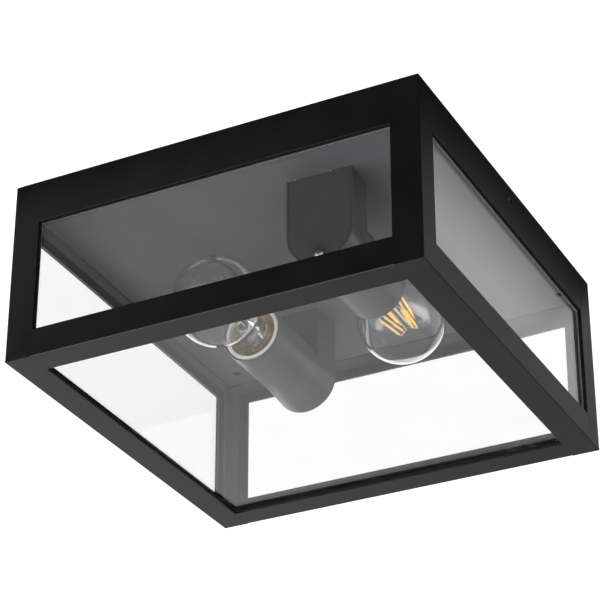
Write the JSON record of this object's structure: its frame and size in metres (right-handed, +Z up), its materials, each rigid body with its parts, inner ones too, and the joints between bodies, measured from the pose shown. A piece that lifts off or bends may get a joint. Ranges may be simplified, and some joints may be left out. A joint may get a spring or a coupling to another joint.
{
  "type": "porch ceiling lantern",
  "caption": "Square black ceiling lantern with clear glass sides and bottom, its bulbs lying in tubular lampholder housings turned end for end.",
  "frame": {"origin": "centre of the lantern on the ceiling plane, at the top face of its gasket", "axes": "+Z up into the ceiling, -Y to the front pane, +X to the right"},
  "size_m": [0.3, 0.3, 0.137],
  "materials": {
    "black_paint": "satin",
    "grey_paint": "satin",
    "pane_glass": "gloss",
    "bulb_glass": "gloss",
    "black_rubber": "matte",
    "foam": "matte",
    "porcelain": "gloss",
    "zinc_steel": "satin",
    "brass": "satin",
    "cap_metal": "satin",
    "black_insulator": "gloss",
    "filament": "matte",
    "wire_steel": "satin",
    "block_plastic": "matte",
    "brown_lead": "satin",
    "blue_lead": "satin",
    "green_lead": "satin"
  },
  "bodies": {
    "ceiling_base": {"base_pan": "grey_paint", "ceiling_gasket": "foam", "side_rivet_nuts": "zinc_steel", "terminal_block": "block_plastic", "terminal_screws": "brass", "terminal_block_screws": "zinc_steel", "earth_stud": "zinc_steel", "earth_lead": "green_lead", "live_leads": "brown_lead", "neutral_leads": "blue_lead", "lead_grommets": "black_rubber", "housing_screws": "zinc_steel", "bracket_screws": "zinc_steel", "end_plate_screws": "zinc_steel", "holder_nipples": "zinc_steel", "holder_housing_left": "grey_paint", "end_plate_left": "grey_paint", "holder_bracket_left": "zinc_steel", "lampholder_left": "porcelain", "thread_shell_left": "brass", "centre_contact_left": "brass", "holder_housing_right": "grey_paint", "end_plate_right": "grey_paint", "holder_bracket_right": "zinc_steel", "lampholder_right": "porcelain", "thread_shell_right": "brass", "centre_contact_right": "brass"},
    "glazed_frame": {"corner_post_front_left": "black_paint", "corner_post_front_right": "black_paint", "corner_post_back_left": "black_paint", "corner_post_back_right": "black_paint", "top_rail_front": "black_paint", "bottom_rail_front": "black_paint", "top_rail_back": "black_paint", "bottom_rail_back": "black_paint", "top_rail_left": "black_paint", "bottom_rail_left": "black_paint", "top_rail_right": "black_paint", "bottom_rail_right": "black_paint", "pane_front": "pane_glass", "pane_back": "pane_glass", "pane_left": "pane_glass", "pane_right": "pane_glass", "pane_bottom": "pane_glass", "glazing_tapes": "black_rubber"},
    "bulb_left": {"bulb_glass_left": "bulb_glass", "bulb_cap_left": "cap_metal", "cap_insulator_left": "black_insulator", "cap_contact_left": "cap_metal", "bulb_stem_left": "bulb_glass", "bulb_filaments_left": "filament", "filament_wires_left": "wire_steel"},
    "bulb_right": {"bulb_glass_right": "bulb_glass", "bulb_cap_right": "cap_metal", "cap_insulator_right": "black_insulator", "cap_contact_right": "cap_metal", "bulb_stem_right": "bulb_glass", "bulb_filaments_right": "filament", "filament_wires_right": "wire_steel"}
  },
  "joints": [
    {"name": "frame_drop", "type": "slide", "parent": "ceiling_base", "child": "glazed_frame", "axis": [0, 0, -1], "range_m": [0, 0.1]},
    {"name": "bulb_left_out", "type": "slide", "parent": "ceiling_base", "child": "bulb_left", "axis": [0, -0.9999, -0.014], "range_m": [-0.009, 0.03]},
    {"name": "bulb_right_out", "type": "slide", "parent": "ceiling_base", "child": "bulb_right", "axis": [0, 0.999, -0.0454], "range_m": [0, 0.03]}
  ]
}
